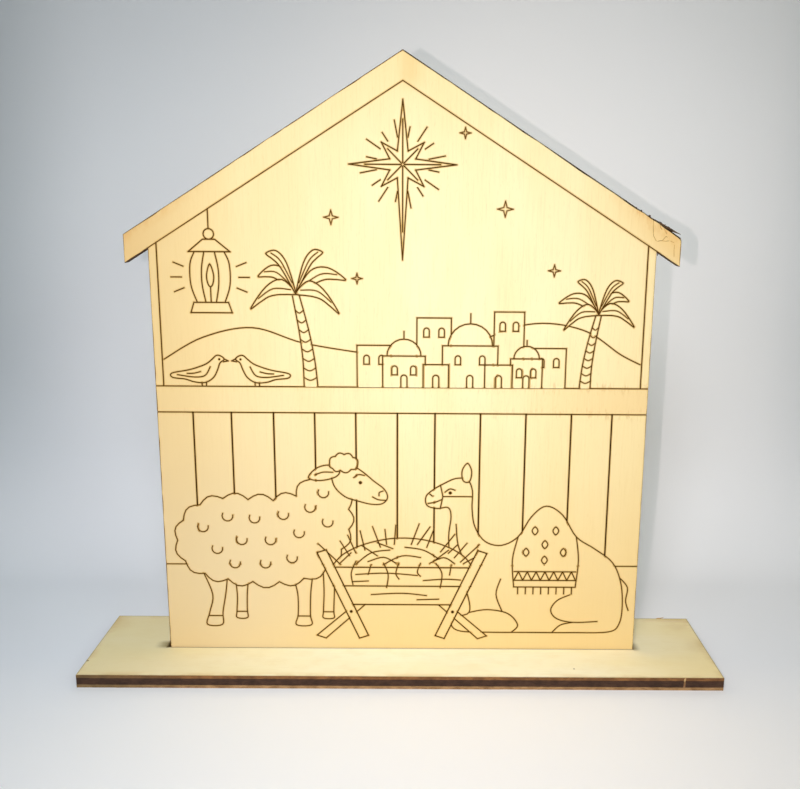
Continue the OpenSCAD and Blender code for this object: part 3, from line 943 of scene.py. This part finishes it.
def bare_wood(finish, along, pale, warm, dark, streaky=1.0):
    """Lays on sanded veneer with its grain along an axis, and gives its height."""
    fine, pores, broad = ([(s if axis == along else 1.0) for axis in "xyz"] for s in (26.0, 6.0, 3.5))
    streak = finish.grain(0.5, fine, 3.0, 0.6)
    pore = finish.grain(0.3, pores, 1.0, 0.5, 17.0)
    band = finish.grain(14.0, broad, 2.0, 0.5, 5.0)
    finish.shade = finish.mix(band.rise(0.3, 0.72), pale, warm)
    finish.tint(dark, streak.rise(0.45, 0.75) * (0.13 * streaky))
    finish.tint(dark, pore.rise(0.62, 0.76) * (0.11 * streaky))
    return streak * 0.5 - pore.rise(0.62, 0.78) * 0.5


def charred(finish, clean, brown, soot):
    """Lays on a cut edge scorched by the laser, and gives its height."""
    patch = finish.grain(2.4, (1.6, 1.6, 1.0), 3.0, 0.6, 3.0)
    fibre = finish.grain(0.24, (7.0, 7.0, 1.0), 2.0, 0.6, 11.0)
    finish.shade = finish.mix(patch.rise(0.32, 0.68), clean, brown)
    finish.tint(soot, fibre.rise(0.42, 0.78) * 0.6)
    return fibre * 0.6 + patch * 0.4


def scorched(finish):
    """The scorch that the veneer's mesh carries, from 0 to 1."""
    return finish.number("ShaderNodeAttribute", {"attribute_name": "scorch"}, output=2)


def wall_edge_distance(finish):
    """Millimetres from the nearest cut edge of the wall."""
    x, z = abs(finish.x) / MM, finish.z / MM
    from_top = (ROOF_TOP_Z - x * SLOPE - z) * LEAN
    from_eave = (x * SLOPE + z - PEAK_Z) * LEAN
    return from_top.at_most((WALL_HALF - x).at_least(from_eave)).at_most(EAVE_HALF - x)


def panel_face():
    """Engraved face: painted lamp falloff, pale in the middle and warmer outwards, and toasted near the
    lines and the cut edge.
    """
    finish = Finish("panel_face")
    height = bare_wood(finish, "z", "#fcecba", "#fae6b0", "#c79c5c")
    x, z = finish.x / MM, finish.z / MM
    away = ((x - 14) ** 2 + (z - 115) ** 2) ** 0.5
    left, out = 0 - x, abs(x)
    below = (ROOF_TOP_Z - out * SLOPE - z) * LEAN
    # Painted shade: warmer and darker away from a lit middle, as the lamp's light falls off
    finish.tint("#eecc8a", away.rise(20, 112) * 0.85)
    finish.tint("#e6d2aa", left.rise(0, 60) * z.rise(100, 30) * 0.7)
    finish.tint("#dfbf84", left.rise(40, 76) * 0.4)
    scorch = scorched(finish)
    finish.tint("#d8a64a", scorch * 0.9)
    finish.tint("#875a1e", scorch ** 4 * 0.6)
    fibres = finish.grain(0.45, (1, 1, 5), 2.0, 0.6, 31.0)
    patch = finish.grain(2.6, (1, 1, 1.6), 2.0, 0.5, 40.0)
    toast = x.rise(60, 71) * below.rise(4.2, 0.2) * fibres.rise(0.4, 0.68) * patch.rise(0.3, 0.56)
    finish.tint("#cf8f48", toast * 0.75)
    from_rail = abs(z - RAIL_Z).at_most(abs(z - RAIL_FOOT_Z))
    smoke = from_rail.rise(2.8, 0.2) * fibres.rise(0.48, 0.72) * patch.rise(0.35, 0.6)
    finish.tint("#c48c44", smoke * (x.rise(0, 68) * 0.7 + 0.3) * 0.45)
    finish.tint("#ecc07c", abs(z - (RAIL_Z + RAIL_FOOT_Z) / 2).rise(4.4, 3.4) * x.rise(10, 72) * 0.35)
    finish.tint("#dca65c", out.rise(48, 76) * (below.rise(3.5, 0.0) * patch.rise(0.25, 0.6)) * 0.5)
    finish.tint("#dfb473", out.rise(56, 82) * below.rise(10, 5) * 0.4)
    finish.tint("#efc47a", x.rise(50, 78) * below.rise(9, 3) * 0.45)
    finish.tint("#e9c078", abs(x - 2).rise(5, 0) * z.rise(168, 174) * 0.45)
    return finish.done(0.62, height, 0.02, 0.3)


def plain_panel_face():
    """Hidden face of the panel, browned along the cut, and its scorched cut edge."""
    finish = Finish("panel_back_face")
    height = bare_wood(finish, "z", "#fce7ba", "#f9dba9", "#c4925c")
    smoke = finish.grain(7.0, (1, 1, 1.6), 3.0, 0.6, 21.0)
    edge = wall_edge_distance(finish)
    finish.tint("#a87a40", edge.rise(1.8, 0.1) * smoke.rise(0.3, 0.6) * 0.6)
    finish.tint("#6b4726", edge.rise(0.35, 0.05) * 0.7)
    flat, wood = finish.facing(1), finish.shade
    rough = charred(finish, "#8a5d34", "#6a4526", "#3e2817")
    finish.tint(wood, flat)
    return finish.done(0.65, height * flat + rough * (1 - flat), 0.04, 0.4)


def burnt_line():
    """Floor and walls of the burnt lines, from light brown where the laser went fast to near black."""
    finish = Finish("burnt_line")
    soot = finish.grain(0.6, (1, 1, 1), 2.0, 0.6)
    finish.shade = finish.mix((scorched(finish) - 0.45) / 0.55, "#946322", "#301c08")
    finish.tint("#261808", soot.rise(0.4, 0.75) * 0.4)
    return finish.done(0.9, soot, 0.05, 0.5, 0.05)


def hairline():
    finish = Finish("hairline_crack")
    finish.shade = finish.mix(finish.grain(0.8).rise(0.3, 0.7), "#d0a258", "#9a7034")
    return finish.done(0.8)


def burnt_edge():
    """Cut edge of the front veneer."""
    finish = Finish("panel_front_edge")
    return finish.done(0.75, charred(finish, "#8f643a", "#6a4628", "#3b2615"))


def slot_distance(finish):
    """Millimetres from the slot, sideways past its ends and front to back past its long walls."""
    x, y = finish.x / MM, finish.y / MM
    middle = (SLOT_CLEAR - SLOT_PLAY) / 2
    past_x = (abs(x - middle) - (WALL_W + SLOT_PLAY + SLOT_CLEAR) / 2).at_least(0)
    past_y = (abs(y) - BOARD_T / 2 - SLOT_CLEAR).at_least(0)
    return (past_x ** 2 + past_y ** 2) ** 0.5


def in_slot(finish):
    """1 on the walls of the slot and 0 on the outer edges of the base."""
    return abs(finish.x / MM).rise(82, 80) * abs(finish.y / MM).rise(8, 6)


def base_face(name, marks, edge_tones):
    """Veneer of the base: pale and scorched near its cuts on the level face, with painted shade beside the
    slot's ends, charred on its edges, and painted paler inside the slot.
    """
    finish = Finish(name)
    height = bare_wood(finish, "x", "#fffadf", "#fcf5cf", "#ccae6c", 0.6)
    mottle = finish.grain(4.0, (1.5, 1, 1), 3.0, 0.55, 27.0)
    finish.tint("#e0c888", mottle.rise(0.4, 0.75) * 0.13)
    x, y = finish.x / MM, finish.y / MM
    left, edge = 0 - x, (BASE_W / 2 - abs(x)).at_most(BASE_D / 2 - abs(y))
    smoke = finish.grain(6.0, (1.6, 1, 1), 3.0, 0.6, 9.0)
    finish.tint("#ecd696", (10 - x).rise(30, 95) * 0.6)
    finish.tint("#ffdd8c", (x - 10).rise(30, 90) * 0.6)
    finish.tint("#d2ad62", edge.rise(3.0, 0.0) * smoke.rise(0.38, 0.65) * 0.4)
    finish.tint("#8c6c3a", edge.rise(0.5, 0.05) * 0.6)
    slot_gap, across = slot_distance(finish), abs(y + 0.4)
    finish.tint("#6b5029", slot_gap.rise(0.6, 0.1) * 0.7)
    # Smudges beside the ends of the slot: laser scorch with painted contact shade where the panel stands in
    # it
    left_scorch_and_shade = slot_gap.rise(4.6, 0.2) * left.rise(WALL_HALF + 0.3, WALL_HALF + 1.2) * across.rise(3.0, 0.8)
    right_scorch_and_shade = slot_gap.rise(2.8, 0.1) * x.rise(WALL_HALF, WALL_HALF + 0.4) * across.rise(3.4, 1.0)
    finish.tint("#8a7440", left_scorch_and_shade * (smoke.rise(0.15, 0.5) * 0.4 + 0.4))
    finish.tint("#75602f", right_scorch_and_shade * 0.75)
    for mark_x, mark_y, r, share, tone in marks:
        away = ((x - mark_x) ** 2 + (y - mark_y) ** 2) ** 0.5
        if r < 1:
            finish.tint(tone, away.rise(1.3 * r, 0.7 * r) * share)
        else:
            finish.tint(tone, away.rise(1.7 * r, 0.3 * r) * smoke.rise(0.3, 0.6) * share)
    level, wood = finish.facing(2), finish.shade
    rough = charred(finish, *edge_tones)
    finish.tint("#5e5236", left.rise(55, 92) * 0.6)
    # Painted light: the slot's walls are made paler than the cut edges outside it
    finish.tint("#a8945e", in_slot(finish) * 0.85)
    finish.tint(wood, level)
    return finish.done(0.6, height * level + rough * (1 - level), 0.04, 0.4)


def core(name, slotted):
    """Cross-grain core, burnt nearly black on every cut, and made paler inside a slot by painted light."""
    finish = Finish(name)
    height = charred(finish, "#4d3527", "#3a271c", "#24170f")
    if slotted:
        # Painted light: paler inside the slot, where the deep cut would be shaded
        finish.tint("#8b774a", in_slot(finish) * 0.8)
    return finish.done(0.8, height, 0.08, 0.6)


def torn_wood():
    """Bare torn fibres, browner where they cross the core of the board."""
    finish = Finish("torn_wood")
    fibre = finish.grain(0.25, (1, 1, 4), 2.0, 0.6)
    z = finish.z / MM
    finish.shade = finish.mix(z.rise(3.3, 2.7), "#d9b27a", "#8f6846")
    finish.tint("#b08a5c", z.rise(1.2, 0.5))
    finish.tint("#7c5836", fibre.rise(0.35, 0.7) * 0.5)
    return finish.done(0.7, fibre, 0.08, 0.6)


def dark_splinter():
    finish = Finish("dark_splinter")
    fibre = finish.grain(0.3, (5, 1, 1), 2.0, 0.6)
    finish.shade = finish.mix(fibre.rise(0.3, 0.7), "#2f2a24", "#6a4c30")
    return finish.done(0.75, fibre, 0.08, 0.6)


# The two boards and their wear

def dress_base():
    marks = [
        (51.7, -14.1, 0.3, 0.7, "#6a5428"), (-94.6, -10.7, 0.4, 0.7, "#6a5428"),
        (92, 16, 6, 0.28, "#d6b06a"), (94, 0, 4, 0.22, "#d6b06a"), (-94, 14, 5, 0.25, "#d6b06a"),
    ]
    finishes = {
        "base_top_ply": base_face("base_top_face", marks, ("#946539", "#724a27", "#4a2f19")),
        "base_core_ply": core("base_core", True),
        "base_bottom_ply": base_face("base_bottom_face", [], ("#b18a5c", "#8c6840", "#63452a")),
    }
    for node, finish in finishes.items():
        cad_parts[node].material_slots[0].material = finish


def dress_panel():
    materials = [panel_face(), burnt_line(), hairline(), burnt_edge()]
    veneer = carved_veneer("panel_front_veneer", front_picture(), materials)
    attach(veneer, "panel")
    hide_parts("panel_front_ply")
    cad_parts["panel_core_ply"].material_slots[0].material = core("panel_core", False)
    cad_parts["panel_back_ply"].material_slots[0].material = plain_panel_face()


def add_wear():
    """Splinters and char at the knocked eave, and the torn fibres that the cutting left on the base."""
    def above(x, lift, *sizes):
        return (x, ROOF_TOP_Z - SLOPE * x + lift, *sizes)

    y = FRONT_Y + 0.45
    splinter = [
        above(70.0, -0.05, 0.1, 0.2), above(71.4, 0.03, 0.55, 0.8), above(72.6, 0.12, 0.78, 0.95),
        above(73.6, 0.1, 0.6, 0.9), above(74.8, 0.22, 0.8, 0.85), above(76.0, 0.38, 0.58, 0.7),
        above(77.3, 0.56, 0.42, 0.45), above(78.6, 0.85, 0.1, 0.15),
    ]
    fibre = [above(73.4, 0.3, 0.1, 0.15), above(73.9, 0.55, 0.2, 0.2), above(74.1, 0.85, 0.05, 0.08)]
    beads = [(y - 0.1, splinter), (y, fibre)]
    for x, lift, r in ((62.6, -0.05, 0.14), (65.6, -0.02, 0.2), (67.0, 0, 0.26), (69.4, 0.06, 0.36)):
        first, last = (above(x + side, lift, 0.06, 0.06) for side in (-r, r))
        beads.append((y - 0.2, [first, above(x, lift + 0.1, 1.5 * r, 1.6 * r), last]))
    beads.append((y, [(72.05, 127.0, 0.1, 0.1), (72.3, 126.5, 0.4, 0.4), (72.35, 125.5, 0.1, 0.1)]))
    beads.append((y, [(-71.9, 126.9, 0.2, 0.2), (-72.5, 126.55, 0.65, 0.5), (-73.5, 125.9, 0.2, 0.2)]))
    char = torn_bits("roof_splinter", beads, dark_splinter())
    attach(char, "panel")

    half = BASE_D / 2
    back_fibre = torn_bits("base_back_fibre", [(half - 0.1, [
        (84.2, 3.9, 0.1, 0.2), (85.2, 4.05, 0.25, 0.4), (86.4, 4.2, 0.25, 0.4), (87.3, 4.5, 0.08, 0.1),
    ])], torn_wood())
    tab = torn_bits("base_tab_mark", [(-half + 0.03, [
        (83.45, 0.1, 0.25, 0.1), (83.4, 0.9, 0.55, 0.3), (83.5, 1.8, 0.62, 0.34), (83.4, 2.8, 0.62, 0.34),
        (83.5, 3.5, 0.6, 0.3), (83.5, 3.95, 0.35, 0.1),
    ])], torn_wood())
    for piece in (back_fibre, tab):
        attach(piece, "base")


# Floor, light and camera

# The paper: how far it reaches forward, back, up and to each side, and the radius of its bend
PAPER_FRONT, PAPER_BACK, PAPER_TOP, PAPER_HALF, BEND = -700.0, 96.0, 700.0, 900.0, 42.0


def make_stage():
    """Pale paper that lies under the stable and curves up behind it, with painted shade towards its sides
    and a painted glow by the roof, clear where it is seen from behind.
    """
    turns = np.linspace(0, math.pi / 2, 25)
    bend = [(PAPER_BACK - BEND + BEND * math.sin(a), BEND - BEND * math.cos(a)) for a in turns]
    profile = [(PAPER_FRONT, 0.0), *bend, (PAPER_BACK, PAPER_TOP)]
    vertices = [(side * PAPER_HALF, y, z) for y, z in profile for side in (-1, 1)]
    faces = [[2 * i, 2 * i + 1, 2 * i + 3, 2 * i + 2] for i in range(len(profile) - 1)]
    finish = Finish("paper")
    paper = make_object("paper", vertices, faces, [finish.material])
    for polygon in paper.data.polygons:
        polygon.use_smooth = True
    x, y, z = finish.x / MM, finish.y / MM, finish.z / MM
    finish.shade = finish.mix((0 - x).rise(-60, 120) * 0.7, "#fcfafa", "#f0f7ff")
    # Painted shade: the upright paper darkens towards its sides, mostly higher up
    finish.tint("#acb7bd", abs(x - 8).rise(122, 205) * z.rise(-20, 90) * 0.85)
    finish.done(0.9)
    far = abs(x).rise(165, 300).at_least(z.rise(260, 420))
    far = far.at_least((0 - y).rise(150, 300)).at_least(y.rise(110, 260))
    # Painted glow: the paper round the right of the roof shines a little to the camera, beside the pale
    # shine of the far paper
    glow_behind_roof = (((x - 65) ** 2 + (z - 175) ** 2) ** 0.5).rise(140, 20)
    bright = finish.mix(finish.seen() * far.at_least(glow_behind_roof * 0.17), "#000000", "#f8fafc")
    finish.feed(finish.shader.inputs["Emission Color"], bright)
    finish.shader.inputs["Emission Strength"].default_value = 0.5
    behind = finish.node("ShaderNodeNewGeometry").outputs["Backfacing"]
    clear = finish.node("ShaderNodeBsdfTransparent")
    sides = {0: behind, 1: finish.shader.outputs[0], 2: clear.outputs[0]}
    finish.show(finish.node("ShaderNodeMixShader", None, sides))
    near, past = PAPER_BACK - BEND, 900
    corners = [(-PAPER_HALF, near, 0), (PAPER_HALF, near, 0), (PAPER_HALF, past, 0), (-PAPER_HALF, past, 0)]
    floor = make_object("floor_behind", corners, [[0, 1, 2, 3]], [finish.material])


# The camera's place, the angles that it looks down, leans and turns by, and its frame in pixels
CAMERA_AT = Vector((5.47, -253.39, 139.04))
PITCH, ROLL, YAW = 11.991, 0.414, 0.24
FRAME_W, FOCAL, SHIFT_X, SHIFT_Y = 800, 878.4, -24.6, -2.4
SENSOR_W = 36


def make_camera():
    """Camera that looks down at the stable and leans a little."""
    p, r, w = (math.radians(a) for a in (PITCH, ROLL, YAW))
    forward = Vector((math.sin(w) * math.cos(p), math.cos(w) * math.cos(p), -math.sin(p)))
    level = Vector((math.cos(w), -math.sin(w), 0))
    upright = level.cross(forward)
    right = level * math.cos(r) + upright * math.sin(r)
    up = upright * math.cos(r) - level * math.sin(r)
    data = bpy.data.cameras.new("camera")
    camera = put("camera", data)
    turn = Matrix((right, up, -forward)).transposed().to_4x4()
    camera.matrix_world = Matrix.Translation(CAMERA_AT * MM) @ turn
    data.sensor_width = SENSOR_W
    data.lens = FOCAL / FRAME_W * SENSOR_W
    data.shift_x, data.shift_y = SHIFT_X / FRAME_W, SHIFT_Y / FRAME_W
    data.clip_start, data.clip_end = 0.01, 10
    bpy.context.scene.camera = camera


# Each lamp: its size and place, the point it is aimed at, the spread of its beam, its power and its colour
LAMPS = {
    "lens_lamp": (3, CAMERA_AT + Vector((-17, 0, -1.5)), (0, 0, 92), 180, 0.17, (1.0, 0.86, 0.86)),
    "soft_box": (150, (-20, -300, 330), (4, -10, 60), 70, 0.186, (0.94, 0.965, 1.0)),
    "right_box": (200, (320, -420, 300), (0, 0, 80), 120, 0.145, (0.83, 1.0, 0.93)),
    "left_box": (200, (-320, -420, 300), (0, 0, 80), 120, 0.057, (0.91, 0.965, 1.0)),
}
GLOW, GLOW_TINT = 0.167, (0.9, 1.0, 0.975, 1)


def make_light():
    """A small lamp beside the lens, three soft boxes and an even glow all round, seen as a pale wall."""
    for name, (size, place, aim, spread, power, tint) in LAMPS.items():
        data = bpy.data.lights.new(name, "AREA")
        data.shape = "DISK"
        data.size = size * MM
        data.spread = math.radians(spread)
        data.energy = power
        data.color = tint
        place, aim = Vector(place) * MM, Vector(aim) * MM
        turn = (aim - place).to_track_quat("-Z", "Y").to_matrix().to_4x4()
        put(name, data).matrix_world = Matrix.Translation(place) @ turn
    world = bpy.data.worlds.new("room")
    world.use_nodes = True
    room = NodeMaker(world.node_tree, "World Output")
    glow = room.node("ShaderNodeBackground", None, {"Color": GLOW_TINT, "Strength": GLOW})
    wall = room.node("ShaderNodeBackground", None, {"Color": "#cfd3d5", "Strength": 1.0})
    sides = {0: room.seen(), 1: glow.outputs[0], 2: wall.outputs[0]}
    room.show(room.node("ShaderNodeMixShader", None, sides))
    bpy.context.scene.world = world
    bpy.context.scene.view_settings.view_transform = "Standard"


dress_base()
dress_panel()
add_wear()
make_stage()
make_light()
make_camera()
